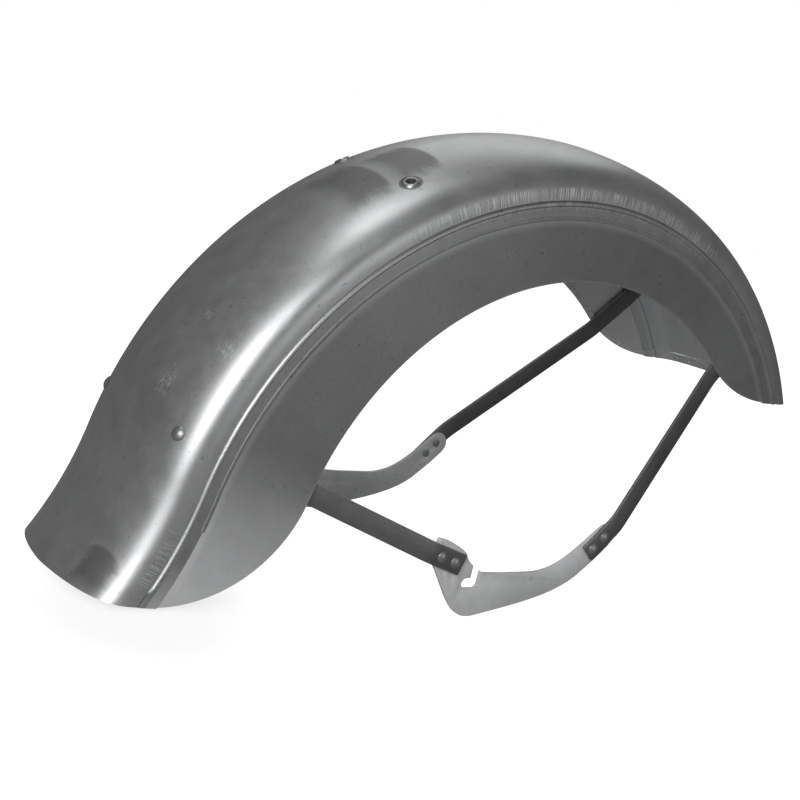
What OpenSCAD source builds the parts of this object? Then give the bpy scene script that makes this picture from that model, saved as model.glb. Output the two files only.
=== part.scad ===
// Motorcycle front fender, one welded and riveted assembly, millimetres.
// Origin: wheel axle centre, in the middle of the width.
// +X forward, +Y left side of the bike, +Z up; the skirts run down both sides of the tyre.

/* [Crown] */
// Radius of the ridge line about the axle
ridge_r = 352; // [345:0.5:360]
// Height of the domed crown above the ridge
crown_h = 42.1; // [39:0.1:46]
// Half width of the crown at the ridge
half_w = 86.3; // [84:0.1:90]
// Exponent across the dome
dome_ex = 1.59; // [1.5:0.01:1.8]
// Exponent up the dome
dome_ey = 3.02; // [2.8:0.01:3.2]
// Sheet thickness
sheet_t = 1.4; // [1.2:0.1:1.8]
// How far the ridge bead stands out
bead_h = 1.7; // [1:0.1:2.2]
// Width of the strip from the ridge down to the welded seam
strip_w = 15; // [13:0.5:16.5]
// Height of the front end above the axle
front_z = 187.5; // [180:0.5:195]
// Height of the rear end below the axle, where its cut passes under the seam radius
rear_z = -20; // [-24:0.5:-16]
// Tilt of the rear end cut, higher towards the back
rear_tilt = 4.9; // [3:0.1:7]
// Angle about the axle where the tail starts to flare
flare_deg = 167.8; // [166:0.2:170]
// Radius of the flared tail along the ridge
flare_r = 334; // [310:1:380]
// Width of the folded hem at both ends of the crown
end_hem_w = 9; // [7:0.5:11]

/* [Skirts] */
// Lower edge arc, centre forward of the axle
edge_x = 13.2; // [8:0.2:16]
// Lower edge arc, centre above the axle
edge_z = 15.2; // [10:0.2:18]
// Depth of the skirts from the ridge, at the middle of the lower edge arc
skirt_depth = 83.2; // [80:0.2:87]
// Radius of the front lower corner
front_corner_r = 160; // [140:1:180]
// Radius of the rear lower corner
rear_corner_r = 120; // [100:1:135]
// Outward splay of the skirts
splay_deg = 4.75; // [4:0.05:5.5]
// Width of the folded hem along the lower edge
edge_hem_w = 5.5; // [4.5:0.5:7]
// Gap left between the crown strip and the skirt at the welded seam
seam_gap = 0.3; // [0.2:0.05:0.5]

/* [Braces] */
// Width of the flat bar
bar_w = 19; // [16:0.5:21]
// Thickness of the flat bar
bar_t = 3; // [2.6:0.1:3.4]
// Angle of the rear brace about the axle
rear_brace_deg = 162; // [161.4:0.1:162.6]
// Angle of the front brace about the axle
front_brace_deg = 47.5; // [46.9:0.1:48.1]
// Distance of the front brace's centre line behind the axle
front_brace_shift = 1.8; // [0:0.1:3]
// Radius where the rear legs end
rear_leg_r = 113.5; // [112:0.5:115]
// Radius where the front legs end
front_leg_r = 58; // [56:0.5:60]
// Distance along the legs from their ends to the outward bend
leg_flat_l = 40; // [38:0.5:42]
// Gap between the brace and the inside of the sheet
brace_gap = 0.4; // [0.35:0.05:0.6]

/* [Axle plates] */
// Outer face of each plate from the middle
plate_y = 131.6; // [128:0.2:136]
// Length of the plate from end to end
plate_l = 208; // [206:0.2:210]
// Plate thickness
plate_t = 3; // [2.6:0.1:3.6]
// Width of the stud slot
slot_w = 9.4; // [9:0.1:10]

/* [Rivets] */
// Head diameter of the plate rivets
plate_head_d = 11; // [10:0.2:12]
// Head diameter of the crown rivets
crown_head_d = 12; // [11:0.2:13]
// Head height of all rivets
head_h = 2.4; // [2:0.1:2.8]
// Shank diameter
shank_d = 5.4; // [5:0.1:6]
// Clearance between shank and hole, on the radius
shank_gap = 0.3; // [0.2:0.05:0.4]
// Crown rivets from the middle
crown_rivet_y = 66.5; // [63:0.5:68]

/* [Crown bosses] */
// Angle of the bosses about the axle
boss_deg = 119.7; // [118:0.1:121]
// Bosses from the middle
boss_y = 52; // [49:0.5:55]
// Boss outside diameter
boss_d = 16; // [15:0.2:17]
// Boss bore
boss_bore_d = 8.6; // [8.2:0.1:9]
// Boss length
boss_l = 11; // [10:0.5:12]
// How far the boss stands above the sheet at its axis
boss_proud = 1.6; // [1.2:0.1:2]
// Width of the boss's sloping rim
boss_rim_w = 1.7; // [1.2:0.1:2.2]

/* [Hidden] */
$fn = 96;
small_fn = 28;
eps = 0.05;
seam_r = ridge_r - strip_w;
edge_r = ridge_r - skirt_depth;
section_r = edge_r - 5 * bar_w;
reach = 1.4 * ridge_r;
strip_y = half_w + 0.7;
top_gap = 0.2;
far_r = ridge_r + flare_r;
steel = [0.52, 0.53, 0.54];
dark_steel = [0.36, 0.37, 0.38];

// Half section points as [radius, y]
function spow(a, p) = a < 0 ? -pow(-a, p) : pow(a, p);
function dome(w, h, s) = [ridge_r + h * pow(abs(cos(s)), 2 / dome_ey), w * spow(sin(s), 2 / dome_ex)];
function dome_line(w, h, n) = [for (i = [-n:n]) dome(w, h, 90 * sin(90 * i / n))];
function dome_rise(y) = crown_h * pow(1 - pow(abs(y) / half_w, dome_ex), 1 / dome_ey);
function dome_tilt(y) = let (q = dome_rise(y) / crown_h)
    atan(dome_ex / dome_ey * crown_h / half_w * pow(abs(y) / half_w, dome_ex - 1) * pow(q, 1 - dome_ey));
function rev(p) = [for (i = [len(p) - 1:-1:0]) p[i]];
function flip(p) = [for (q = p) [q[0], -q[1]]];
function unit(v) = v / norm(v);
function side(v) = [-v[1], v[0]];
// A line moved sideways by d, with mitred corners
function shifted(p, d) = let (n = len(p) - 1) [for (i = [0:n])
    let (a = side(unit(p[max(i, 1)] - p[max(i, 1) - 1])))
    let (b = side(unit(p[min(i + 1, n)] - p[min(i + 1, n) - 1])))
    let (m = unit(a + b))
    p[i] + m * d / (m * a)];
// A rounded bend at b, reaching g back along both legs
function bend(a, b, c, g) = let (p = b + unit(a - b) * g, q = b + unit(c - b) * g)
    [for (t = [0:0.25:1]) (1 - t) * (1 - t) * p + 2 * t * (1 - t) * b + t * t * q];
function curve(a, b, c, d, n) = [for (i = [0:n]) let (t = i / n, u = 1 - t)
    u * u * u * a + 3 * u * u * t * b + 3 * u * t * t * c + t * t * t * d];

// Ridge bead and strip below it, outside line from the ridge down to the seam
function strip_out(r0) = [
    [ridge_r - 0.6, half_w + bead_h * 0.75],
    [ridge_r - 1.6, half_w + bead_h],
    [ridge_r - 2.8, half_w + bead_h * 0.92],
    [ridge_r - 4.2, strip_y + 0.25],
    [ridge_r - 5.4, strip_y],
    [r0, strip_y]];
function strip_in(r0, d) = [
    [ridge_r - 1.6, half_w - d + bead_h * 0.6],
    [ridge_r - 4.6, half_w - d + bead_h * 0.5],
    [ridge_r - 6.4, strip_y - d],
    [r0, strip_y - d]];

// Whole crown section, d0 and d1 are the depths of its two faces
function crown_face(d, r0) = concat(
    rev(flip(d == 0 ? strip_out(r0) : strip_in(r0, d))),
    dome_line(half_w - d, crown_h - d, 12),
    d == 0 ? strip_out(r0) : strip_in(r0, d));
function crown_section(d0, d1) = concat(crown_face(d0, seam_r), rev(crown_face(d1, seam_r)));

// Skirt section between depths d0 and d1
function skirt_line(r, d) = strip_y - d + (seam_r - r) * tan(splay_deg);
function skirt_section(d0, d1) = [
    [seam_r - seam_gap, skirt_line(seam_r, d0)],
    [section_r, skirt_line(section_r, d0)],
    [section_r, skirt_line(section_r, d1)],
    [seam_r - seam_gap, skirt_line(seam_r, d1)]];

// Sweeps a section about the axle, then about the outer centre for the flare
function hundredths(p) = [for (q = p) [round(q[0] * 100) / 100, round(q[1] * 100) / 100]];
function flared(p) = [for (q = rev(p)) [far_r - q[0], q[1]]];
module swept(p) {
    at_angle(flare_deg)
        rotate([90, 0, 0])
            union() {
                mirror([0, 1, 0])
                    rotate_extrude(angle = flare_deg - 22)
                        polygon(hundredths(p));
                translate([far_r, 0, 0])
                    mirror([1, 0, 0])
                        rotate_extrude(angle = 32)
                            polygon(flared(hundredths(p)));
            }
}

// Everything between the two horizontal end cuts, cut in by g
module between_ends(g) {
    union() {
        translate([0, -reach / 2, front_z + g])
            cube([reach, reach, reach]);
        translate([-seam_r, -reach / 2, rear_z + g])
            rotate([0, rear_tilt, 0])
                translate([-reach, 0, 0])
                    cube([reach + seam_r, reach, 2 * reach]);
    }
}

function arc(c, r, a0, a1, n) = [for (i = [0:n]) let (t = a0 + (a1 - a0) * i / n)
    c + r * [cos(t), sin(t)]];
function corner_x(rc, z) = sqrt(pow(edge_r + rc, 2) - pow(z + rc - edge_z, 2));

// Area of the skirt as seen from the side, g inside its lower edge
module skirt_area(g) {
    e = [edge_x, edge_z];
    zf = front_z + 1;
    zr = rear_z + 3;
    cf = [edge_x + corner_x(front_corner_r, zf), zf + front_corner_r];
    cr = [edge_x - corner_x(rear_corner_r, zr), zr + rear_corner_r];
    af = atan2(cf[1] - edge_z, cf[0] - edge_x);
    ar = atan2(cr[1] - edge_z, cr[0] - edge_x);
    polygon(concat(
        [[reach, reach], [reach, zf + g]],
        arc(cf, front_corner_r - g, 270, 180 + af, 9),
        arc(e, edge_r + g, af + 1, ar - 1, 46),
        arc(cr, rear_corner_r - g, ar - 180, -90, 14),
        [[-reach, zr + g], [-reach, reach]]));
}

module skirt() {
    union() {
        intersection() {
            swept(skirt_section(0, sheet_t));
            rotate([90, 0, 0])
                linear_extrude(height = reach, center = true)
                    skirt_area(0);
        }
        intersection() {
            swept(skirt_section(sheet_t - eps, 2 * sheet_t));
            rotate([90, 0, 0])
                linear_extrude(height = reach, center = true)
                    difference() {
                        skirt_area(0);
                        skirt_area(edge_hem_w);
                    }
        }
    }
}

module at_angle(a) {
    rotate([0, -a, 0])
        children();
}

// Places a part with +Z out along the sheet normal of the dome at y
module on_dome(a, y, lift) {
    at_angle(a)
        translate([ridge_r + dome_rise(y), y, 0])
            rotate([0, 0, sign(y) * dome_tilt(y)])
                translate([lift, 0, 0])
                    rotate([0, 90, 0])
                        children();
}

module rivet_holes(l) {
    translate([0, 0, -l])
        cylinder(d = shank_d + 2 * shank_gap, h = 2 * l, $fn = small_fn);
}

module rivet(head_d, grip) {
    r = (head_d * head_d / 4 + head_h * head_h) / (2 * head_h);
    intersection() {
        translate([0, 0, head_h - r])
            sphere(r = r, $fn = 56);
        cylinder(d = head_d, h = head_h + 1, $fn = small_fn);
    }
    translate([0, 0, -grip - 1])
        cylinder(d = shank_d, h = grip + 1 + eps, $fn = small_fn);
    translate([0, 0, -grip - 1.2])
        cylinder(d = shank_d + 2.6, h = 1.2, $fn = small_fn);
}

module crown() {
    color(steel)
        difference() {
            union() {
                intersection() {
                    swept(crown_section(0, sheet_t));
                    between_ends(0);
                }
                intersection() {
                    swept(crown_section(sheet_t - eps, 2 * sheet_t));
                    difference() {
                        between_ends(0);
                        between_ends(end_hem_w);
                    }
                }
            }
            for (s = [-1, 1]) {
                on_dome(boss_deg, s * boss_y, -boss_l)
                    cylinder(d = boss_d + 2 * shank_gap, h = 3 * boss_l, $fn = 48);
                on_dome(rear_brace_deg, s * crown_rivet_y, 0)
                    rivet_holes(8);
            }
        }
}

module left_skirt() {
    color(steel)
        mirror([0, 1, 0])
            skirt();
}

module right_skirt() {
    color(steel)
        skirt();
}

// Outside line of one brace, from the end of the +Y leg up to the top of the crown
function lower_edge_r(a) = let (e = edge_x * cos(a) + edge_z * sin(a))
    e + sqrt(edge_r * edge_r - edge_x * edge_x - edge_z * edge_z + e * e);
function brace_half(a, r_end) =
    let (d = 2 * sheet_t + brace_gap)
    let (r_in = lower_edge_r(a) - 6)
    let (p0 = [r_end, plate_y + bar_t])
    let (p1 = [r_end + leg_flat_l, plate_y + bar_t])
    let (p2 = [r_in, skirt_line(r_in, d)])
    let (p3 = [seam_r, skirt_line(seam_r, d)])
    let (up = dome_line(strip_y - d, crown_h - sheet_t - brace_gap, 16))
    concat([p0], bend(p0, p1, p2, 7), bend(p1, p2, p3, 5), [p3], [for (i = [32:-1:16]) up[i]]);
function brace_line(h) = concat(h, [for (i = [len(h) - 2:-1:0]) [h[i][0], -h[i][1]]]);

module brace(a, shift, r_end) {
    line = brace_line(brace_half(a, r_end));
    at_angle(a)
        translate([0, 0, shift])
            linear_extrude(height = bar_w, center = true)
                polygon(concat(line, rev(shifted(line, -bar_t))));
}

// Centres of the plate rivets as [radius along the leg]
rear_rivets = [rear_leg_r + 8.5, rear_leg_r + 25];
front_rivets = [front_leg_r + 7, front_leg_r + 22.5];

module plate_rivet_place(a, shift, rs, s, y) {
    at_angle(a)
        for (r = rs)
            translate([r, s * y, shift])
                rotate([-90 * s, 0, 0])
                    children();
}

module rear_brace() {
    color(dark_steel)
        difference() {
            brace(rear_brace_deg, 0, rear_leg_r);
            for (s = [-1, 1]) {
                on_dome(rear_brace_deg, s * crown_rivet_y, 0)
                    rivet_holes(8);
                plate_rivet_place(rear_brace_deg, 0, rear_rivets, s, plate_y)
                    rivet_holes(8);
            }
        }
}

module front_brace() {
    color(dark_steel)
        difference() {
            brace(front_brace_deg, front_brace_shift, front_leg_r);
            for (s = [-1, 1])
                plate_rivet_place(front_brace_deg, front_brace_shift, front_rivets, s, plate_y)
                    rivet_holes(8);
        }
}

// Outline of the axle plate seen from the right side, x forward and y up
function plate_outline() = plate_l / 208 * concat(
    curve([-141.2, 38.6], [-127, 24], [-119, 6], [-104, -7.2], 10),
    curve([-104, -7.2], [-96, -13.5], [-88, -15], [-77, -12.6], 6),
    curve([-77, -12.6], [-30, -3], [15, 4], [38, 27], 12),
    curve([38, 27], [46, 34], [53, 40], [63.5, 51.5], 4),
    curve([63.5, 51.5], [70, 59], [66.5, 67.5], [60, 71], 5),
    curve([60, 71], [56, 73], [52, 72], [48, 68.5], 4),
    curve([48, 68.5], [22, 45.5], [6, 26.3], [-28, 26.2], 12),
    [[-62, 26], [-79.5, 26.6], [-83, 28.3], [-88, 28.3], [-88, 32.6]],
    curve([-92, 32.8], [-97, 36.5], [-102, 40], [-103.5, 45], 5),
    curve([-103.5, 45], [-113, 52], [-126, 57], [-137.4, 58.8], 6));

slot_x = -88 / 208 * plate_l;
slot_z = 17.3 / 208 * plate_l;
slot_turn = 8.6 / 208 * plate_l;
module plate_shape() {
    difference() {
        polygon(plate_outline());
        translate([slot_x - slot_w / 2, slot_z])
            square([slot_w, 4 * slot_w]);
        translate([slot_x, slot_z])
            circle(d = slot_w, $fn = 40);
        translate([slot_x - slot_turn, slot_z - slot_w / 2])
            square([slot_turn, slot_w]);
        translate([slot_x - slot_turn, slot_z])
            circle(d = slot_w, $fn = 40);
    }
}

module axle_plate(s) {
    color(steel)
        difference() {
            translate([0, s > 0 ? plate_y : plate_t - plate_y, 0])
                rotate([90, 0, 0])
                    linear_extrude(height = plate_t)
                        plate_shape();
            plate_rivet_place(rear_brace_deg, 0, rear_rivets, s, plate_y)
                rivet_holes(8);
            plate_rivet_place(front_brace_deg, front_brace_shift, front_rivets, s, plate_y)
                rivet_holes(8);
        }
}

module left_axle_plate() {
    axle_plate(1);
}

module right_axle_plate() {
    axle_plate(-1);
}

module plate_rivets(a, shift, rs, s) {
    color(steel)
        plate_rivet_place(a, shift, rs, s, plate_y + bar_t)
            rivet(plate_head_d, bar_t + plate_t);
}

module left_rear_rivets() {
    plate_rivets(rear_brace_deg, 0, rear_rivets, 1);
}

module left_front_rivets() {
    plate_rivets(front_brace_deg, front_brace_shift, front_rivets, 1);
}

module right_rear_rivets() {
    plate_rivets(rear_brace_deg, 0, rear_rivets, -1);
}

module right_front_rivets() {
    plate_rivets(front_brace_deg, front_brace_shift, front_rivets, -1);
}

module crown_rivets() {
    color(steel)
        for (s = [-1, 1])
            on_dome(rear_brace_deg, s * crown_rivet_y, top_gap)
                rivet(crown_head_d, sheet_t + bar_t + brace_gap + 2 * top_gap + 0.1);
}

module boss(s) {
    color(dark_steel)
        on_dome(boss_deg, s * boss_y, boss_proud - boss_l)
            difference() {
                union() {
                    cylinder(d = boss_d, h = boss_l - boss_rim_w, $fn = 48);
                    translate([0, 0, boss_l - boss_rim_w])
                        cylinder(d1 = boss_d, d2 = boss_d - 2 * boss_rim_w, h = boss_rim_w, $fn = 48);
                }
                translate([0, 0, -1])
                    cylinder(d = boss_bore_d, h = boss_l + 2, $fn = 48);
            }
}

module left_boss() {
    boss(1);
}

module right_boss() {
    boss(-1);
}

crown();
left_skirt();
right_skirt();
rear_brace();
front_brace();
left_axle_plate();
right_axle_plate();
left_rear_rivets();
left_front_rivets();
right_rear_rivets();
right_front_rivets();
crown_rivets();
left_boss();
right_boss();
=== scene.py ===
import bpy
import math
import bmesh
from mathutils import Matrix, Vector


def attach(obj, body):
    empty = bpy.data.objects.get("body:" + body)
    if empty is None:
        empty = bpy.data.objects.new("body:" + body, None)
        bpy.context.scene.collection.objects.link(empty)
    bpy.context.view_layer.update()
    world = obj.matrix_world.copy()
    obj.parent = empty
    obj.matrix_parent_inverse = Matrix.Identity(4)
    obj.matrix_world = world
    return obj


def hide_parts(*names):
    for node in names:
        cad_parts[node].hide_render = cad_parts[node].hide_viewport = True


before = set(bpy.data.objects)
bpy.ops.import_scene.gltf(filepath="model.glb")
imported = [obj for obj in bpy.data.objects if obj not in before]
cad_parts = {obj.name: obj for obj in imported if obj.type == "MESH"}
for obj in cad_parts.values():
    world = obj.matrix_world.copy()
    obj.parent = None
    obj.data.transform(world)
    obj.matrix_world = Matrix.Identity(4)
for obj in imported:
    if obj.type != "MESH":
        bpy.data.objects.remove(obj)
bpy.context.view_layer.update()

# Crown: one long pressing of raw steel sheet: a domed top, a raised bead along the ridge on each
# side and a flat strip below it. The tail flares rearwards and both ends are folded under.
RIDGE, DOME, HALF, SHEET = 352.0, 42.1, 86.3, 1.4
DOME_WIDE, DOME_HIGH = 1.59, 3.02
BEAD_DROP, BEAD_SWELL, STRIP_OUT, STRIP_DROP = 5.2, 1.85, 0.7, 9.8
BEAD_FADE, BEAD_END = 0.92, 0.18
END_HEM, END_BLEND = 8.6, 9.6
SEAM = 337.0
HOLE_R, HOLE_DEEP = 6.3, 12.0
FRONT_Z, REAR_Z, REAR_TILT, FLARE, FLARE_R = 187.5, -20.0, math.radians(4.9), 167.8, 334.0
FAR = RIDGE + FLARE_R
FAR_X, FAR_Z = FAR * math.cos(math.radians(FLARE)), FAR * math.sin(math.radians(FLARE))


def on_arc(r, y, deg):
    a = math.radians(deg)
    return (r * math.cos(a), y, r * math.sin(a))


def on_flare(r, y, deg):
    a = math.radians(deg)
    return (FAR_X + (FAR - r) * math.cos(a), y, FAR_Z + (FAR - r) * math.sin(a))


def make_object(name, points, faces, values=None):
    mesh = bpy.data.meshes.new(name)
    mesh.from_pydata([(x / 1000, y / 1000, z / 1000) for x, y, z in points], [], faces)
    for key, column in (values or {}).items():
        mesh.attributes.new(key, "FLOAT", "POINT").data.foreach_set("value", column)
    mesh.validate()
    bm = bmesh.new()
    bm.from_mesh(mesh)
    bmesh.ops.remove_doubles(bm, verts=bm.verts, dist=1e-6)
    bmesh.ops.recalc_face_normals(bm, faces=bm.faces)
    bm.to_mesh(mesh)
    bm.free()
    mesh.shade_smooth()
    mesh.set_sharp_from_angle(angle=math.radians(38))
    obj = bpy.data.objects.new(name, mesh)
    bpy.context.scene.collection.objects.link(obj)
    return obj


def dome_points(w, h, n):
    line = []
    for i in range(-n, n + 1):
        s = math.radians(90 * math.sin(math.radians(90 * i / n)))
        y = w * math.copysign(abs(math.sin(s)) ** (2 / DOME_WIDE), math.sin(s))
        line.append((RIDGE + h * abs(math.cos(s)) ** (2 / DOME_HIGH), y))
    return line


def bead_points(depth, swell):
    # Rounded bead below the ridge, then the strip down to the seam
    line = []
    for k in range(1, 13):
        t = k / 12
        bulge = BEAD_SWELL * swell * math.sin(math.pi * t) ** 0.8
        line.append((RIDGE - BEAD_DROP * t, HALF - depth + STRIP_OUT * t + bulge))
    for k in range(1, 9):
        line.append((RIDGE - BEAD_DROP - STRIP_DROP * k / 8, HALF - depth + STRIP_OUT))
    return line


def crown_line(depth, swell):
    low = bead_points(depth, swell)
    mirrored = [(r, -y) for r, y in reversed(low)]
    return mirrored + dome_points(HALF - depth, DOME - depth, 44) + low


def crown_rows():
    # Stations along the crown as (kind, value): heights above the cut at both ends, fractions
    # between them, and closer ones by the bosses
    ends = (0, 0.6, END_HEM, 9.0, END_BLEND)
    near = [0.632 + 0.0011 * k for k in range(25)]
    rows = [("front", value) for value in ends]
    rows += [("main", f) for f in sorted([k / 150 for k in range(1, 151)] + near)]
    rows += [("tail", k / 40) for k in range(1, 40)]
    return rows + [("rear", value) for value in reversed(ends)]


def rear_cut(r, lift):
    # Angle about the outer centre where the tilted end cut, lifted a little, meets radius r
    drop = REAR_Z + lift - FAR_Z - math.tan(REAR_TILT) * (FAR_X + SEAM)
    return math.degrees(math.asin(math.cos(REAR_TILT) * drop / (FAR - r)) - REAR_TILT)


def crown_point(kind, value, r, y):
    if kind == "front":
        deg = math.degrees(math.asin((FRONT_Z + value) / r))
        return on_arc(r, y, deg), deg
    if kind == "main":
        low = math.degrees(math.asin((FRONT_Z + END_BLEND) / r))
        deg = low + (FLARE - low) * value
        return on_arc(r, y, deg), deg
    top = FLARE - 180
    if kind == "rear":
        deg = rear_cut(r, value)
    else:
        deg = top + (rear_cut(r, END_BLEND) - top) * value
    return on_flare(r, y, deg), FLARE + (top - deg) * FLARE_R / RIDGE


def bead_swell(kind, value):
    # The bead dies away just before the end of the tail
    if kind == "rear":
        return BEAD_END
    if kind == "tail" and value > BEAD_FADE:
        return 1 - (1 - BEAD_END) * ((value - BEAD_FADE) / (1 - BEAD_FADE)) ** 1.5
    return 1.0


points, phi_column, yy_column, rise_column, within_column, faces = [], [], [], [], [], []
rows = crown_rows()
for kind, value in rows:
    folded = kind in ("front", "rear") and value <= END_HEM
    swell = bead_swell(kind, value)
    outer = crown_line(0, swell)
    inner = crown_line(2 * SHEET if folded else SHEET, swell)
    for n, (r, y) in enumerate(outer + inner[::-1]):
        place, deg = crown_point(kind, value, r, y)
        points.append(place)
        within_column.append(float(n >= len(outer)))
        phi_column.append(deg)
        yy_column.append(y)
        rise_column.append(r - RIDGE)
loop = 2 * len(crown_line(0, 1))
for i in range(len(rows) - 1):
    for j in range(loop):
        k = (j + 1) % loop
        faces.append((i * loop + j, i * loop + k, (i + 1) * loop + k, (i + 1) * loop + j))
for base in (0, (len(rows) - 1) * loop):
    for j in range(loop // 2 - 1):
        faces.append((base + j, base + j + 1, base + loop - 2 - j, base + loop - 1 - j))
# Where the two bosses go through, and which way they lean
bosses = [Vector((-191.54, side * 52.0, 335.81)) for side in (-1, 1)]
lean = [Vector((-0.47673, side * 0.27236, 0.83579)) for side in (-1, 1)]


def in_boss(face):
    centre = sum((Vector(points[i]) for i in face), Vector()) / len(face)
    for place, axis in zip(bosses, lean):
        away = centre - place
        if (away - axis * away.dot(axis)).length < HOLE_R and away.length < HOLE_DEEP:
            return True
    return False


faces = [f for f in faces if not in_boss(f)]
columns = {"phi": phi_column, "yy": yy_column, "rise": rise_column, "within": within_column}
crown = make_object("crown_sheet", points, faces, columns)


def node(tree, kind, **settings):
    made = tree.nodes.new(kind)
    for key, val in settings.items():
        setattr(made, key, val)
    return made


def feed(tree, socket, source):
    if isinstance(source, bpy.types.NodeSocket):
        tree.links.new(source, socket)
    else:
        socket.default_value = source


def maths(tree, operation, a, b=0.0, c=0.0, clamp=False):
    made = node(tree, "ShaderNodeMath", operation=operation, use_clamp=clamp)
    for i, source in enumerate((a, b, c)):
        feed(tree, made.inputs[i], source)
    return made.outputs[0]


def noise(tree, vector, scale, detail=4.0, rough=0.55):
    made = node(tree, "ShaderNodeTexNoise")
    feed(tree, made.inputs["Vector"], vector)
    made.inputs["Scale"].default_value = scale
    made.inputs["Detail"].default_value = detail
    made.inputs["Roughness"].default_value = rough
    return made.outputs["Fac"]


def ramp(tree, value, low, high, to_low=0.0, to_high=1.0):
    made = node(tree, "ShaderNodeMapRange", interpolation_type="SMOOTHSTEP")
    for i, source in enumerate((value, low, high, to_low, to_high)):
        feed(tree, made.inputs[i], source)
    return made.outputs[0]


def grown(tree, value, centre, half, soft):
    # 1 inside centre +- half, falling to 0 over soft
    away = maths(tree, "ABSOLUTE", maths(tree, "SUBTRACT", value, centre))
    return ramp(tree, away, half + soft, half, 0.0, 1.0)


def steel(name, shade, rough, metal=0.9, pits=0.5, mottle=0.25, bump=0.12):
    # Raw sheet steel: cloudy tone, dark pits, fine grain in tone, gloss and height
    mat = bpy.data.materials.new(name)
    mat.use_nodes = True
    tree = mat.node_tree
    shader = tree.nodes["Principled BSDF"]
    where = node(tree, "ShaderNodeTexCoord").outputs["Object"]
    cloud = noise(tree, where, 9.0, 6.0, 0.6)
    grain = noise(tree, where, 420.0, 3.0, 0.7)
    spots = noise(tree, where, 260.0, 2.0, 0.5)
    pit = ramp(tree, spots, 0.33, 0.26, 0.0, 1.0)
    smear = noise(tree, where, 45.0, 5.0, 0.65)
    tone = maths(tree, "MULTIPLY_ADD", maths(tree, "SUBTRACT", cloud, 0.5), mottle * 1.6, 1.0)
    tone = maths(tree, "MULTIPLY_ADD", maths(tree, "SUBTRACT", smear, 0.5), mottle * 0.9, tone)
    tone = maths(tree, "MULTIPLY_ADD", maths(tree, "SUBTRACT", grain, 0.5), mottle * 0.9, tone)
    tone = maths(tree, "MULTIPLY", tone, maths(tree, "MULTIPLY_ADD", pit, -pits, 1.0))
    gloss = maths(tree, "MULTIPLY_ADD", maths(tree, "SUBTRACT", smear, 0.5), 0.22, rough)
    height = maths(tree, "MULTIPLY_ADD", pit, -0.8, maths(tree, "MULTIPLY", grain, 0.5))
    mat["shade"] = shade
    return mat, tree, shader, {"where": where, "smear": smear, "tone": tone, "gloss": gloss,
                               "height": height, "metal": metal, "bump": bump}


def finish_steel(mat, tree, shader, w):
    value = maths(tree, "MULTIPLY", w["tone"], mat["shade"])
    colour = node(tree, "ShaderNodeCombineColor")
    for i, tint in enumerate((0.99, 1.0, 1.01)):
        feed(tree, colour.inputs[i], maths(tree, "MULTIPLY", value, tint))
    feed(tree, shader.inputs["Base Color"], colour.outputs[0])
    feed(tree, shader.inputs["Roughness"], w["gloss"])
    shader.inputs["Metallic"].default_value = w["metal"]
    bumped = node(tree, "ShaderNodeBump")
    bumped.inputs["Strength"].default_value = w["bump"]
    bumped.inputs["Distance"].default_value = 0.0006
    feed(tree, bumped.inputs["Height"], w["height"])
    feed(tree, shader.inputs["Normal"], bumped.outputs[0])
    return mat


def value_of(tree, name):
    return node(tree, "ShaderNodeAttribute", attribute_name=name).outputs["Fac"]


def pair(tree, a, ka, b, kb, c=0.0):
    made = node(tree, "ShaderNodeCombineXYZ")
    feed(tree, made.inputs[0], maths(tree, "MULTIPLY", a, ka))
    feed(tree, made.inputs[1], maths(tree, "MULTIPLY", b, kb))
    made.inputs[2].default_value = c
    return made.outputs[0]


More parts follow.
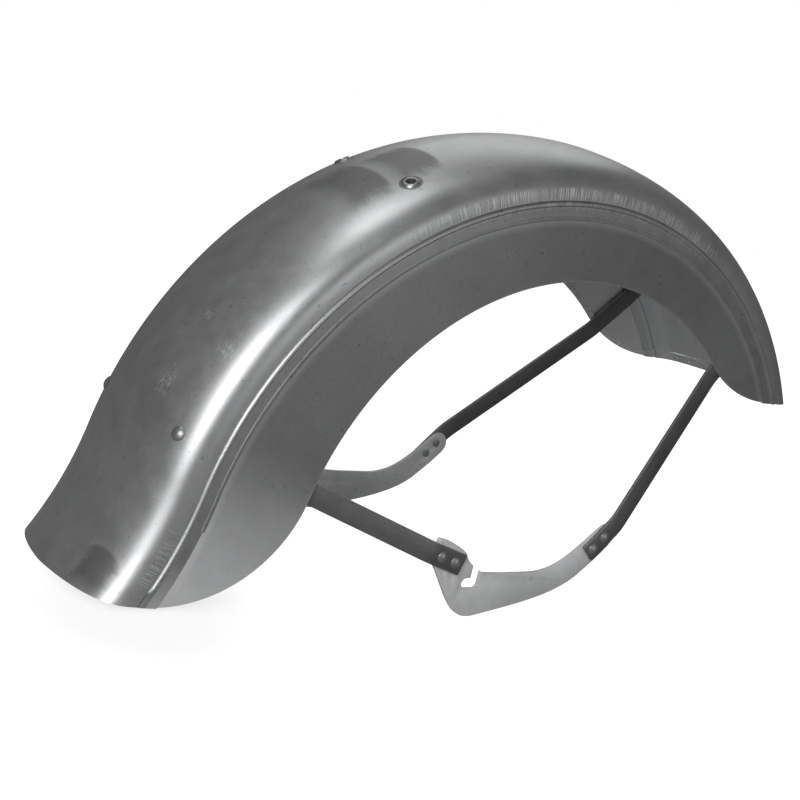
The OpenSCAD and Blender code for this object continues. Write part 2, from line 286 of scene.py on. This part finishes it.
def crown_material():
    mat, tree, shader, w = steel("crown_steel", 0.56, 0.42, metal=0.92, pits=0.3, mottle=0.2)
    phi, yy, rise = (value_of(tree, n) for n in ("phi", "yy", "rise"))
    # Long drawing marks that run with the sweep
    drawn = noise(tree, pair(tree, phi, 0.02, yy, 0.9), 1.0, 6.0, 0.6)
    w["tone"] = maths(tree, "MULTIPLY_ADD", maths(tree, "SUBTRACT", drawn, 0.5), 0.16, w["tone"])
    # Soft dark patches before and behind the bosses and at the tail, a little rougher
    square = lambda v: maths(tree, "MULTIPLY", v, v)
    patches = ((124.4, -12.0, 3.9, 46.0, 0.5), (116.8, -15.0, 3.9, 39.0, 0.5),
               (182.8, -57.0, 3.8, 20.0, 0.55))
    for centre, y0, dphi, dy, deep in patches:
        aside = maths(tree, "DIVIDE", maths(tree, "SUBTRACT", yy, y0), dy)
        bowed = maths(tree, "SUBTRACT", phi, centre)
        bowed = maths(tree, "MULTIPLY_ADD", square(aside), -1.3, bowed)
        ahead = maths(tree, "DIVIDE", bowed, dphi)
        wisps = noise(tree, pair(tree, phi, 0.9, yy, 0.07, centre), 1.0, 4.0)
        wisps = maths(tree, "SUBTRACT", wisps, 0.5)
        reach = maths(tree, "MULTIPLY_ADD", wisps, 0.7, square(aside))
        soft = maths(tree, "MULTIPLY", ramp(tree, reach, 1.0, 0.2), ramp(tree, ahead, 1.15, 0.3))
        crisp = ramp(tree, ahead, -0.94, -0.74)
        mask = maths(tree, "MULTIPLY", soft, crisp)
        w["tone"] = maths(tree, "MULTIPLY", w["tone"], maths(tree, "MULTIPLY_ADD", mask, -deep, 1.0))
        w["gloss"] = maths(tree, "MULTIPLY_ADD", mask, 0.12, w["gloss"])
    # Short cross strokes that the forming rolls left on the ridge, above and below the crease
    strokes = noise(tree, pair(tree, phi, 5.0, rise, 0.02), 1.0, 4.0, 0.8)
    strokes = ramp(tree, strokes, 0.47, 0.62)
    smudge = ramp(tree, w["smear"], 0.35, 0.6)
    side_on = ramp(tree, yy, -70.0, -82.0)
    upper = maths(tree, "MULTIPLY", ramp(tree, rise, 0.6, 1.6), ramp(tree, rise, 12.5, 9.0))
    lower = maths(tree, "MULTIPLY", ramp(tree, rise, -8.5, -5.5), ramp(tree, rise, -0.8, -1.6))
    rows_hit = maths(tree, "MULTIPLY_ADD", lower, 0.45, upper)
    front = maths(tree, "MULTIPLY", ramp(tree, phi, 130.0, 112.0), ramp(tree, phi, 60.0, 70.0))
    tail = maths(tree, "MULTIPLY", ramp(tree, phi, 171.0, 175.0), ramp(tree, phi, 183.0, 180.0))
    reach = maths(tree, "MULTIPLY_ADD", tail, 0.7, front, clamp=True)
    band = maths(tree, "MULTIPLY", maths(tree, "MULTIPLY", rows_hit, reach), side_on)
    stroke = maths(tree, "MULTIPLY", strokes, band)
    w["tone"] = maths(tree, "MULTIPLY_ADD", band, -0.2, w["tone"])
    w["tone"] = maths(tree, "MULTIPLY_ADD", stroke, 1.1, w["tone"])
    w["height"] = maths(tree, "MULTIPLY_ADD", stroke, 0.7, w["height"])
    # Painted shade: a thin dark line in the crease on the ridge. Painted highlight: a bright spot on the
    # bead. A darker strip under the bead, with painted highlight that makes it paler at the tail
    strip = ramp(tree, rise, -4.5, -7.0)
    # Painted highlight: the strip is paler at the tail
    paler = maths(tree, "MULTIPLY_ADD", ramp(tree, phi, 175.0, 184.0), 0.9, -0.2)
    w["tone"] = maths(tree, "MULTIPLY_ADD", strip, paler, w["tone"])
    # Painted shade in the crease
    crease = grown(tree, rise, -0.3, 0.25, 0.7)
    w["tone"] = maths(tree, "MULTIPLY_ADD", crease, -0.5, w["tone"])
    # Painted highlight on the bead, patchy
    bead_highlight = maths(tree, "MULTIPLY", grown(tree, rise, -2.2, 0.8, 1.2), grown(tree, phi, 100.7, 0.8, 3.0))
    bead_highlight = maths(tree, "MULTIPLY", bead_highlight, smudge)
    w["tone"] = maths(tree, "MULTIPLY_ADD", bead_highlight, 0.9, w["tone"])
    # A burnt ring round each boss
    along = maths(tree, "MULTIPLY", maths(tree, "SUBTRACT", phi, 119.7), 6.8)
    aside = maths(tree, "SUBTRACT", maths(tree, "ABSOLUTE", yy), 52.0)
    aside = maths(tree, "MULTIPLY", aside, 1.12)
    off = maths(tree, "SQRT", maths(tree, "ADD", square(along), square(aside)))
    w["tone"] = maths(tree, "MULTIPLY_ADD", grown(tree, off, 9.2, 0.7, 0.9), -0.6, w["tone"])
    # Painted light: the inside faces are painted paler
    w["tone"] = maths(tree, "MULTIPLY_ADD", value_of(tree, "within"), 0.7, w["tone"])
    # Scuffs and hairline scratches
    scuffs = ((157.3, -30.0, 1.5, 6.0), (151.1, -62.0, 0.5, 4.0), (148.6, -24.0, 0.4, 4.0))
    for centre, y0, dphi, dy in scuffs:
        area = maths(tree, "MULTIPLY", grown(tree, phi, centre, dphi, 0.7), grown(tree, yy, y0, dy, 4.0))
        cut = noise(tree, pair(tree, phi, 1.3, yy, 0.33, centre), 1.0, 3.0, 0.8)
        cut = ramp(tree, cut, 0.53, 0.6)
        w["tone"] = maths(tree, "MULTIPLY_ADD", maths(tree, "MULTIPLY", area, cut), 0.55, w["tone"])
    slanted = maths(tree, "ADD", phi, maths(tree, "MULTIPLY", yy, 0.05))
    hair = noise(tree, pair(tree, slanted, 0.5, yy, 0.02), 9.0, 2.0, 0.9)
    hair = ramp(tree, hair, 0.68, 0.72)
    w["tone"] = maths(tree, "MULTIPLY_ADD", hair, 0.1, w["tone"])
    return finish_steel(mat, tree, shader, w)


crown_mat = crown_material()
crown.data.materials.append(crown_mat)
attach(crown, "root")
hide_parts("crown")

# Skirts: a flat splayed panel on each side, welded to the crown's strip. Its lower edge follows the
# wheel with big rounded corners and is folded back inside as a narrow hem.
EDGE_X, EDGE_Z, EDGE_R, CORNER_F, CORNER_R = 13.2, 15.2, 268.8, 160.0, 120.0
STRIP_Y, SPLAY, HEM, GAP, WELD_Y = 87.0, math.tan(math.radians(4.75)), 5.5, 0.3, 86.95
HEM_FIRST, HEM_LAST, CROWN_HEM_Y = 36.5, 160.5, 55.0
SKIRT_FRONT, SKIRT_REAR = FRONT_Z + 1.0, REAR_Z + 3.0


def skirt_inside(x, z, g):
    # True where the flat shape of the skirt, cut back by g, has metal
    zf, zr = SKIRT_FRONT, SKIRT_REAR
    fx = EDGE_X + math.sqrt((EDGE_R + CORNER_F) ** 2 - (zf + CORNER_F - EDGE_Z) ** 2)
    rx = EDGE_X - math.sqrt((EDGE_R + CORNER_R) ** 2 - (zr + CORNER_R - EDGE_Z) ** 2)
    if math.hypot(x - EDGE_X, z - EDGE_Z) < EDGE_R + g:
        return False
    if x > 0 and z < zf + g or x <= 0 and z < zr + g:
        return False
    for cx, cz, rc, sign in ((fx, zf + CORNER_F, CORNER_F, 1), (rx, zr + CORNER_R, CORNER_R, -1)):
        between = (cx - x) * sign > 0 and z < cz
        above = (z - EDGE_Z) * (cx - EDGE_X) * sign - (cz - EDGE_Z) * (x - EDGE_X) * sign > 0
        if between and not above and math.hypot(x - cx, z - cz) > rc - g:
            return False
    return True


def skirt_reach(where, g):
    # Depth below the seam at which the line leaves the metal
    low, high = 0.0, 110.0
    for _ in range(26):
        mid = (low + high) / 2
        x, _y, z = where(SEAM - GAP - mid)
        if skirt_inside(x, z, g):
            low = mid
        else:
            high = mid
    return low


def skirt_sheet(name, sign):
    stations = []
    first = math.degrees(math.asin(SKIRT_FRONT / (SEAM - GAP)))
    for k in range(0, 221):
        f = k / 220
        deg = first + 0.05 + (FLARE - first - 0.05) * f ** 1.15
        stations.append((lambda r, d=deg: on_arc(r, 0, d), deg))
    last = math.degrees(math.asin((SKIRT_REAR - FAR_Z) / (FAR - SEAM)))
    for k in range(1, 61):
        deg = FLARE - 180 + (last + 0.04 - (FLARE - 180)) * (1 - (1 - k / 60) ** 1.3)
        phi = FLARE + (FLARE - 180 - deg) * FLARE_R / RIDGE
        stations.append((lambda r, d=deg: on_flare(r, 0, d), phi))
    steps = 20
    points, phis, depths, edges, within = [], [], [], [], []
    for where, deg in stations:
        full = skirt_reach(where, 0.0)
        hem = min(skirt_reach(where, HEM), full)
        flat = [hem * (k / steps) for k in range(steps + 1)]
        fold = [hem + (full - hem) * k for k in (0.06, 0.5, 0.94, 1.0)]
        outer = [(d, 0.0) for d in flat + fold]
        inner = [(d, 2 * SHEET) for d in reversed(fold)] + [(d, SHEET) for d in reversed(flat)]
        for d, t in outer + inner:
            x, _y, z = where(SEAM - GAP - d)
            y = STRIP_Y - t + d * SPLAY
            points.append((x, sign * y, z))
            phis.append(deg)
            depths.append(d)
            edges.append(full - d)
            within.append(float(t > 0))
    loop = 2 * (steps + 5)
    faces = []
    for i in range(len(stations) - 1):
        for j in range(loop):
            k = (j + 1) % loop
            faces.append((i * loop + j, i * loop + k, (i + 1) * loop + k, (i + 1) * loop + j))
    for base in (0, (len(stations) - 1) * loop):
        for j in range(loop // 2 - 1):
            faces.append((base + j, base + j + 1, base + loop - 2 - j, base + loop - 1 - j))
    columns = {"phi": phis, "depth": depths, "edge": edges, "within": within}
    return make_object(name, points, faces, columns)


def skirt_material():
    mat, tree, shader, w = steel("skirt_steel", 0.28, 0.5, metal=0.85, pits=0.3, mottle=0.3, bump=0.2)
    phi, depth, edge = (value_of(tree, n) for n in ("phi", "depth", "edge"))
    # Painted highlight: paler towards the rear. Paler towards the front
    rear = ramp(tree, phi, 156.0, 183.0, 0.0, 2.6)
    w["tone"] = maths(tree, "ADD", w["tone"], rear)
    w["tone"] = maths(tree, "ADD", w["tone"], ramp(tree, phi, 78.0, 45.0, 0.0, 0.4))
    # Painted light: the inside faces are painted paler
    w["tone"] = maths(tree, "MULTIPLY_ADD", value_of(tree, "within"), 2.3, w["tone"])
    # Painted highlight: a wide pale band along the seam
    seam = ramp(tree, depth, 9.0, 1.0, 0.0, 0.5)
    w["tone"] = maths(tree, "ADD", w["tone"], seam)
    # Paler along the lower edge
    rim = ramp(tree, edge, 1.6, 0.4, 0.0, 0.35)
    w["tone"] = maths(tree, "ADD", w["tone"], rim)
    flecks = ramp(tree, noise(tree, w["where"], 170.0, 3.0, 0.6), 0.68, 0.72)
    w["tone"] = maths(tree, "MULTIPLY_ADD", flecks, -0.25, w["tone"])
    return finish_steel(mat, tree, shader, w)


def hem_line(name, sign):
    # Middle of the folded hem, inside the crown's front end and then inside the skirt
    line = [crown_point("front", 4.3, r, y)[0] for r, y in crown_line(2 * SHEET, 1.0) if y > CROWN_HEM_Y]
    line = [(x / 1000, sign * y / 1000, z / 1000) for x, y, z in line]
    for k in range(161):
        deg = HEM_FIRST + (HEM_LAST - HEM_FIRST) * k / 160
        place = lambda r, d=deg: on_arc(r, 0, d)
        depth = skirt_reach(place, 0.5 * HEM)
        x, _y, z = place(SEAM - GAP - depth)
        line.append((x / 1000, sign * (STRIP_Y - 2 * SHEET + depth * SPLAY) / 1000, z / 1000))
    mesh = bpy.data.meshes.new(name)
    mesh.from_pydata(line, [(k, k + 1) for k in range(len(line) - 1)], [])
    obj = bpy.data.objects.new(name, mesh)
    bpy.context.scene.collection.objects.link(obj)
    return obj


def speck_tree(name):
    # Small specks scattered along a line, seeded and realized
    tree = bpy.data.node_groups.new(name, "GeometryNodeTree")
    ends = {}
    for label, kind in (("Geometry", "Geometry"), ("Count", "Int"), ("Spread", "Vector"),
                        ("Size", "Float"), ("Seed", "Int"), ("Material", "Material")):
        ends[label] = tree.interface.new_socket(label, in_out="INPUT", socket_type="NodeSocket" + kind)
    tree.interface.new_socket("Geometry", in_out="OUTPUT", socket_type="NodeSocketGeometry")
    given, out = node(tree, "NodeGroupInput"), node(tree, "NodeGroupOutput")
    curve = node(tree, "GeometryNodeMeshToCurve")
    feed(tree, curve.inputs["Mesh"], given.outputs["Geometry"])
    dots = node(tree, "GeometryNodeCurveToPoints", mode="COUNT")
    feed(tree, dots.inputs["Curve"], curve.outputs["Curve"])
    feed(tree, dots.inputs["Count"], given.outputs["Count"])
    shift = node(tree, "FunctionNodeRandomValue", data_type="FLOAT_VECTOR")
    flipped = node(tree, "ShaderNodeVectorMath", operation="SCALE")
    feed(tree, flipped.inputs[0], given.outputs["Spread"])
    flipped.inputs["Scale"].default_value = -1.0
    feed(tree, shift.inputs[0], flipped.outputs[0])
    feed(tree, shift.inputs[1], given.outputs["Spread"])
    feed(tree, shift.inputs["Seed"], given.outputs["Seed"])
    moved = node(tree, "GeometryNodeSetPosition")
    feed(tree, moved.inputs["Geometry"], dots.outputs["Points"])
    feed(tree, moved.inputs["Offset"], shift.outputs[0])
    ball = node(tree, "GeometryNodeMeshIcoSphere")
    ball.inputs["Subdivisions"].default_value = 2
    feed(tree, ball.inputs["Radius"], given.outputs["Size"])
    stretch = node(tree, "FunctionNodeRandomValue", data_type="FLOAT_VECTOR")
    stretch.inputs[0].default_value = (0.35, 0.3, 0.35)
    stretch.inputs[1].default_value = (1.5, 0.8, 1.3)
    feed(tree, stretch.inputs["Seed"], given.outputs["Seed"])
    put = node(tree, "GeometryNodeInstanceOnPoints")
    feed(tree, put.inputs["Points"], moved.outputs["Geometry"])
    feed(tree, put.inputs["Instance"], ball.outputs["Mesh"])
    feed(tree, put.inputs["Scale"], stretch.outputs[0])
    real = node(tree, "GeometryNodeRealizeInstances")
    feed(tree, real.inputs["Geometry"], put.outputs["Instances"])
    painted = node(tree, "GeometryNodeSetMaterial")
    feed(tree, painted.inputs["Geometry"], real.outputs["Geometry"])
    feed(tree, painted.inputs["Material"], given.outputs["Material"])
    feed(tree, out.inputs[0], painted.outputs["Geometry"])
    return tree, ends


def seam_line(name, sign):
    # Path of the weld between the crown's strip and the skirt, which stops early in the tail
    first = math.degrees(math.asin((SKIRT_FRONT + 0.5) / SEAM))
    last = math.degrees(math.asin((SKIRT_REAR + 0.5 - FAR_Z) / (FAR - SEAM)))
    middle = SEAM - GAP / 2
    places = [on_arc(middle, 0, first + (FLARE - first) * k / 240) for k in range(240)]
    tail = [FLARE - 180 + (last - FLARE + 180) * k / 60 for k in range(18)]
    places += [on_flare(middle, 0, deg) for deg in tail]
    line = [(x / 1000, sign * WELD_Y / 1000, z / 1000) for x, _y, z in places]
    mesh = bpy.data.meshes.new(name)
    mesh.from_pydata(line, [(k, k + 1) for k in range(len(line) - 1)], [])
    obj = bpy.data.objects.new(name, mesh)
    bpy.context.scene.collection.objects.link(obj)
    return obj


def weld_tree(name):
    # A low rounded weld that follows a path, pressed flat on its plane and uneven in height
    tree = bpy.data.node_groups.new(name, "GeometryNodeTree")
    ends = {}
    for label, kind in (("Geometry", "Geometry"), ("Radius", "Float"), ("Plane", "Float"),
                        ("Flatness", "Float"), ("Unevenness", "Float"), ("Material", "Material")):
        ends[label] = tree.interface.new_socket(label, in_out="INPUT", socket_type="NodeSocket" + kind)
    tree.interface.new_socket("Geometry", in_out="OUTPUT", socket_type="NodeSocketGeometry")
    given, out = node(tree, "NodeGroupInput"), node(tree, "NodeGroupOutput")
    curve = node(tree, "GeometryNodeMeshToCurve")
    feed(tree, curve.inputs["Mesh"], given.outputs["Geometry"])
    ring = node(tree, "GeometryNodeCurvePrimitiveCircle")
    ring.inputs["Resolution"].default_value = 10
    feed(tree, ring.inputs["Radius"], given.outputs["Radius"])
    bead = node(tree, "GeometryNodeCurveToMesh")
    feed(tree, bead.inputs["Curve"], curve.outputs["Curve"])
    feed(tree, bead.inputs["Profile Curve"], ring.outputs["Curve"])
    bead.inputs["Fill Caps"].default_value = True
    lumps = node(tree, "ShaderNodeTexNoise")
    lumps.inputs["Scale"].default_value = 90.0
    swell = maths(tree, "SUBTRACT", lumps.outputs["Fac"], 0.5)
    swell = maths(tree, "MULTIPLY", swell, given.outputs["Unevenness"])
    share = maths(tree, "ADD", given.outputs["Flatness"], swell)
    at = node(tree, "ShaderNodeSeparateXYZ")
    feed(tree, at.inputs[0], node(tree, "GeometryNodeInputPosition").outputs[0])
    off = maths(tree, "SUBTRACT", at.outputs["Y"], given.outputs["Plane"])
    low = maths(tree, "MULTIPLY_ADD", off, share, given.outputs["Plane"])
    pressed = node(tree, "ShaderNodeCombineXYZ")
    for axis, source in (("X", at.outputs["X"]), ("Y", low), ("Z", at.outputs["Z"])):
        feed(tree, pressed.inputs[axis], source)
    moved = node(tree, "GeometryNodeSetPosition")
    feed(tree, moved.inputs["Geometry"], bead.outputs["Mesh"])
    feed(tree, moved.inputs["Position"], pressed.outputs[0])
    real = node(tree, "GeometryNodeRealizeInstances")
    feed(tree, real.inputs["Geometry"], moved.outputs["Geometry"])
    painted = node(tree, "GeometryNodeSetMaterial")
    feed(tree, painted.inputs["Geometry"], real.outputs["Geometry"])
    feed(tree, painted.inputs["Material"], given.outputs["Material"])
    feed(tree, out.inputs[0], painted.outputs["Geometry"])
    return tree, ends


def grow_on(line, tree, ends, settings):
    # Runs a node tree on the line and keeps the result as a plain mesh
    made = line.modifiers.new(tree.name, "NODES")
    made.node_group = tree
    for label, given in settings.items():
        made[ends[label].identifier] = given
    graph = bpy.context.evaluated_depsgraph_get()
    solid = bpy.data.meshes.new_from_object(line.evaluated_get(graph))
    line.modifiers.clear()
    line.data = solid
    solid.shade_smooth()
    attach(line, "root")


specks, speck_inputs = speck_tree("hem_specks")
welds, weld_inputs = weld_tree("seam_weld")
skirt_mat = skirt_material()
hem_mat = finish_steel(*steel("hem_steel", 0.85, 0.35, metal=0.45, pits=0.7, mottle=0.6, bump=0.5))
weld_mat = finish_steel(*steel("weld_steel", 0.38, 0.58, metal=0.9, pits=0.4, mottle=0.5, bump=0.3))
for side, sign in (("left", 1), ("right", -1)):
    grow_on(hem_line(side + "_hem_specks", sign), specks, speck_inputs,
            {"Count": 700, "Spread": (0.0019, 0.0001, 0.0019), "Size": 0.0009,
             "Seed": 7 + sign, "Material": hem_mat})
    grow_on(seam_line(side + "_seam_weld", sign), welds, weld_inputs,
            {"Radius": 0.0018, "Plane": sign * WELD_Y / 1000, "Flatness": 0.22,
             "Unevenness": 0.25, "Material": weld_mat})
for side, sign in (("left", 1), ("right", -1)):
    panel = skirt_sheet(side + "_skirt_sheet", sign)
    panel.data.materials.append(skirt_mat)
    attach(panel, "root")
    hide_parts(side + "_skirt")

# Braces: two hoops of dark hot-rolled flat bar. Each runs up one side, inside the skirt, under the
# crown and down the other side, and its legs bend out to the axle plates.
BAR_W, BAR_T, PLATE_Y, CLEAR = 19.0, 3.0, 131.6, 0.4
LEG_BEND, HOOP_BEND, PATH_IN, STRAIGHT = 7.0, 5.0, 6.0, 40.0


def brace_line(deg, leg_r, bend_r):
    a = math.radians(deg)
    e = EDGE_X * math.cos(a) + EDGE_Z * math.sin(a)
    edge = e + math.sqrt(EDGE_R ** 2 - EDGE_X ** 2 - EDGE_Z ** 2 + e * e)
    inset = 2 * SHEET + CLEAR
    r_in = edge - PATH_IN
    y_in = STRIP_Y - inset + (SEAM - r_in) * SPLAY
    p0, p1 = Vector((leg_r, PLATE_Y + BAR_T)), Vector((bend_r, PLATE_Y + BAR_T))
    p2, p3 = Vector((r_in, y_in)), Vector((SEAM, STRIP_Y - inset))
    line = [p0, p0.lerp(p1, 0.5)]
    for a0, b0, c0, g in ((p0, p1, p2, LEG_BEND), (p1, p2, p3, HOOP_BEND)):
        p = b0 + (a0 - b0).normalized() * g
        q = b0 + (c0 - b0).normalized() * g
        for t in (k / 8 for k in range(9)):
            line.append((1 - t) ** 2 * p + 2 * t * (1 - t) * b0 + t * t * q)
    line.append(p3)
    arch = dome_points(STRIP_Y - inset, DOME - SHEET - CLEAR, 30)
    line += [Vector(v) for v in reversed(arch[30:])]
    return line + [Vector((p.x, -p.y)) for p in reversed(line[:-1])]


def bar_mesh(name, deg, shift, line):
    # Sweeps a flat bar with softened corners along the line, in the plane at deg
    half, soft, cut = BAR_W / 2, 0.45, 0.13
    ring = [(0, half - soft), (cut, half - cut), (soft, half)]
    ring = ring + [(BAR_T - d, w) for d, w in reversed(ring)]
    ring = ring + [(d, -w) for d, w in reversed(ring)]
    a = math.radians(deg)
    out = Vector((math.cos(a), 0, math.sin(a)))
    tang = Vector((-math.sin(a), 0, math.cos(a)))
    points, faces, along, across = [], [], [], []
    length = 0.0
    for i, p in enumerate(line):
        before = (p - line[i - 1]).normalized() if i else (line[1] - p).normalized()
        after = (line[i + 1] - p).normalized() if i + 1 < len(line) else before
        length += (p - line[i - 1]).length if i else 0.0
        na, nb = Vector((-before.y, before.x)), Vector((-after.y, after.x))
        m = (na + nb).normalized()
        m = m / max(m.dot(na), 0.3)
        for depth, w in ring:
            q = p - m * depth
            point = out * q.x + Vector((0, q.y, 0)) + tang * (w + shift)
            points.append(tuple(point))
            along.append(length)
            across.append(w)
    n = len(ring)
    for i in range(len(line) - 1):
        for j in range(n):
            k = (j + 1) % n
            faces.append((i * n + j, i * n + k, (i + 1) * n + k, (i + 1) * n + j))
    faces.append(tuple(range(n)))
    faces.append(tuple(range((len(line) - 1) * n, len(line) * n)))
    return make_object(name, points, faces, {"along": along, "across": across})


def bar_material():
    mat, tree, shader, w = steel("bar_steel", 0.2, 0.48, metal=0.75, pits=0.5, mottle=0.4, bump=0.2)
    along, across = value_of(tree, "along"), value_of(tree, "across")
    drawn = noise(tree, pair(tree, along, 0.012, across, 1.1), 1.0, 6.0, 0.65)
    w["tone"] = maths(tree, "MULTIPLY_ADD", maths(tree, "SUBTRACT", drawn, 0.5), 0.9, w["tone"])
    rim = ramp(tree, maths(tree, "ABSOLUTE", across), 8.7, 9.4, 0.0, 0.9)
    w["tone"] = maths(tree, "ADD", w["tone"], rim)
    return finish_steel(mat, tree, shader, w)


bar_mat = bar_material()
for name, deg, shift, leg_r in (("rear_brace", 162.0, 0.0, 113.5), ("front_brace", 47.5, 1.8, 58.0)):
    hoop = bar_mesh(name + "_bar", deg, shift, brace_line(deg, leg_r, leg_r + STRAIGHT))
    hoop.data.materials.append(bar_mat)
    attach(hoop, "root")
    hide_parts(name)

# Axle plates: a curved plate on each side, cut from pale 3 mm steel, ties the legs of both braces
# together. Its hooked slot drops over a stud on the fork leg.


def softened(source, name, width):
    # A copy of the CAD piece with its coplanar triangles joined and its edges broken
    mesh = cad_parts[source].data.copy()
    mesh.name = name
    mesh.materials.clear()
    bm = bmesh.new()
    bm.from_mesh(mesh)
    bmesh.ops.remove_doubles(bm, verts=bm.verts, dist=2e-6)
    bmesh.ops.dissolve_limit(bm, angle_limit=math.radians(1.0), verts=bm.verts, edges=bm.edges)
    bmesh.ops.recalc_face_normals(bm, faces=bm.faces)
    bm.to_mesh(mesh)
    bm.free()
    obj = bpy.data.objects.new(name, mesh)
    bpy.context.scene.collection.objects.link(obj)
    cut = obj.modifiers.new("edges", "BEVEL")
    cut.width = width / 1000
    cut.segments = 2
    cut.limit_method = "ANGLE"
    cut.angle_limit = math.radians(50)
    graph = bpy.context.evaluated_depsgraph_get()
    done = bpy.data.meshes.new_from_object(obj.evaluated_get(graph))
    obj.modifiers.clear()
    obj.data = done
    done.name = name
    done.shade_smooth()
    done.set_sharp_from_angle(angle=math.radians(32))
    return obj


def plate_material():
    mat, tree, shader, w = steel("plate_steel", 0.82, 0.5, metal=0.2, pits=0.3, mottle=0.22, bump=0.15)
    rolled = noise(tree, w["where"], 30.0, 8.0, 0.7)
    w["tone"] = maths(tree, "MULTIPLY_ADD", maths(tree, "SUBTRACT", rolled, 0.5), 0.25, w["tone"])
    return finish_steel(mat, tree, shader, w)


plate_mat = plate_material()
for side in ("left", "right"):
    plate = softened(side + "_axle_plate", side + "_axle_plate_cut", 0.35)
    plate.data.materials.append(plate_mat)
    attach(plate, "root")
    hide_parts(side + "_axle_plate")

# Rivets: low domed rivets, hammered over, hold the legs to the plates, and two larger ones
# hold the rear brace up under the crown.


def rivet_material():
    mat, tree, shader, w = steel("rivet_steel", 0.4, 0.42, metal=0.85, pits=0.4, mottle=0.3, bump=0.25)
    beaten = noise(tree, w["where"], 330.0, 2.0, 0.5)
    w["height"] = maths(tree, "MULTIPLY_ADD", beaten, 1.2, w["height"])
    return finish_steel(mat, tree, shader, w)


rivet_mat = rivet_material()
for source in ("left_rear_rivets", "left_front_rivets", "right_rear_rivets", "right_front_rivets",
               "crown_rivets"):
    heads = softened(source, source + "_heads", 0.25)
    heads.data.materials.append(rivet_mat)
    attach(heads, "root")
    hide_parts(source)

# Bosses: two short turned bushes let through the crown, side by side, take the bolts of the
# fork's bracket. The sheet is burnt dark round each of them.
boss_mat = finish_steel(*steel("boss_steel", 0.42, 0.36, metal=0.9, pits=0.3, mottle=0.25))
for side in ("left", "right"):
    bush = softened(side + "_boss", side + "_boss_turned", 0.4)
    bush.data.materials.append(boss_mat)
    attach(bush, "root")
    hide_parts(side + "_boss")

# Photo setting: a plain white floor and four soft lamps, the main one beside the camera and weaker ones
# above, behind and in front. The floor glows white to the camera; round the tail its glow is weaker,
# painted shade that lets a faint cast shadow show there only.
FLOOR_Z, FLOOR_HALF = -0.0196, 4
corners = [(-1, -1), (1, -1), (1, 1), (-1, 1)]
floor_mesh = bpy.data.meshes.new("floor")
floor_mesh.from_pydata([(x * FLOOR_HALF, y * FLOOR_HALF, FLOOR_Z) for x, y in corners], [],
                       [(0, 1, 2, 3)])
floor = bpy.data.objects.new("floor", floor_mesh)
bpy.context.scene.collection.objects.link(floor)
floor_mat = bpy.data.materials.new("floor_white")
floor_mat.use_nodes = True
tree = floor_mat.node_tree
paint = tree.nodes["Principled BSDF"]
paint.inputs["Base Color"].default_value = (0.34, 0.34, 0.34, 1)
paint.inputs["Roughness"].default_value = 0.9
paint.inputs["Specular IOR Level"].default_value = 0.0
paths = node(tree, "ShaderNodeLightPath")
paint.inputs["Emission Color"].default_value = (1, 1, 1, 1)
away = node(tree, "ShaderNodeVectorMath", operation="LENGTH")
from_tail = node(tree, "ShaderNodeVectorMath", operation="SUBTRACT")
feed(tree, from_tail.inputs[0], node(tree, "ShaderNodeTexCoord").outputs["Object"])
under_tail = (-0.38, -0.09, 0.0)
from_tail.inputs[1].default_value = under_tail
feed(tree, away.inputs[0], from_tail.outputs[0])
# Painted shade: the glow is weaker near the tail
glow = ramp(tree, away.outputs["Value"], 0.04, 0.2, 0.76, 1.1)
seen = maths(tree, "MULTIPLY", paths.outputs["Is Camera Ray"], glow)
feed(tree, paint.inputs["Emission Strength"], seen)
floor.data.materials.append(floor_mat)

world = bpy.data.worlds.new("sweep")
bpy.context.scene.world = world
world.use_nodes = True
tree = world.node_tree
sky = tree.nodes["Background"]
paths = node(tree, "ShaderNodeLightPath")
seen = maths(tree, "MULTIPLY_ADD", paths.outputs["Is Camera Ray"], 0.88, 0.12)
feed(tree, sky.inputs["Strength"], seen)
sky.inputs["Color"].default_value = (1, 1, 1, 1)


def soft_light(name, place, aim, power, size_x, size_y):
    data = bpy.data.lights.new(name, "AREA")
    data.shape = "RECTANGLE"
    data.size, data.size_y, data.energy = size_x, size_y, power
    lamp = bpy.data.objects.new(name, data)
    lamp.location = place
    lamp.rotation_euler = (Vector(aim) - Vector(place)).to_track_quat("-Z", "Y").to_euler()
    bpy.context.scene.collection.objects.link(lamp)


soft_light("key", (-1.73, -1.15, 0.93), (-0.25, -0.08, 0.2), 24.0, 1.05, 1.2)
soft_light("top", (-0.6, 0.25, 2.0), (-0.2, -0.06, 0.36), 5.0, 0.8, 0.6)
soft_light("back", (0.95, 1.4, 1.6), (0.0, 0.0, 0.3), 4.5, 1.4, 1.0)
soft_light("fill", (0.6, -2.2, 0.5), (0.0, 0.0, 0.2), 5.0, 1.2, 1.2)

# Camera: behind the fender on its right side, level with the top of the crown and rolled a
# little, so that the picture has the photograph's angle.
right = Vector((0.79313, -0.5643, 0.22914))
up = Vector((-0.05937, 0.3028, 0.9512))
back = Vector((-0.60615, -0.76804, 0.20666))
shot = bpy.data.cameras.new("photo_camera")
shot.lens = 63.34
shot.sensor_width = 36.0
shot.clip_start = 0.05
camera = bpy.data.objects.new("photo_camera", shot)
pose = Matrix((right, up, back)).transposed().to_4x4()
pose.translation = Vector((-0.8789, -0.9756, 0.4018))
camera.matrix_world = pose
bpy.context.scene.collection.objects.link(camera)
bpy.context.scene.camera = camera
bpy.context.scene.view_settings.view_transform = "Standard"
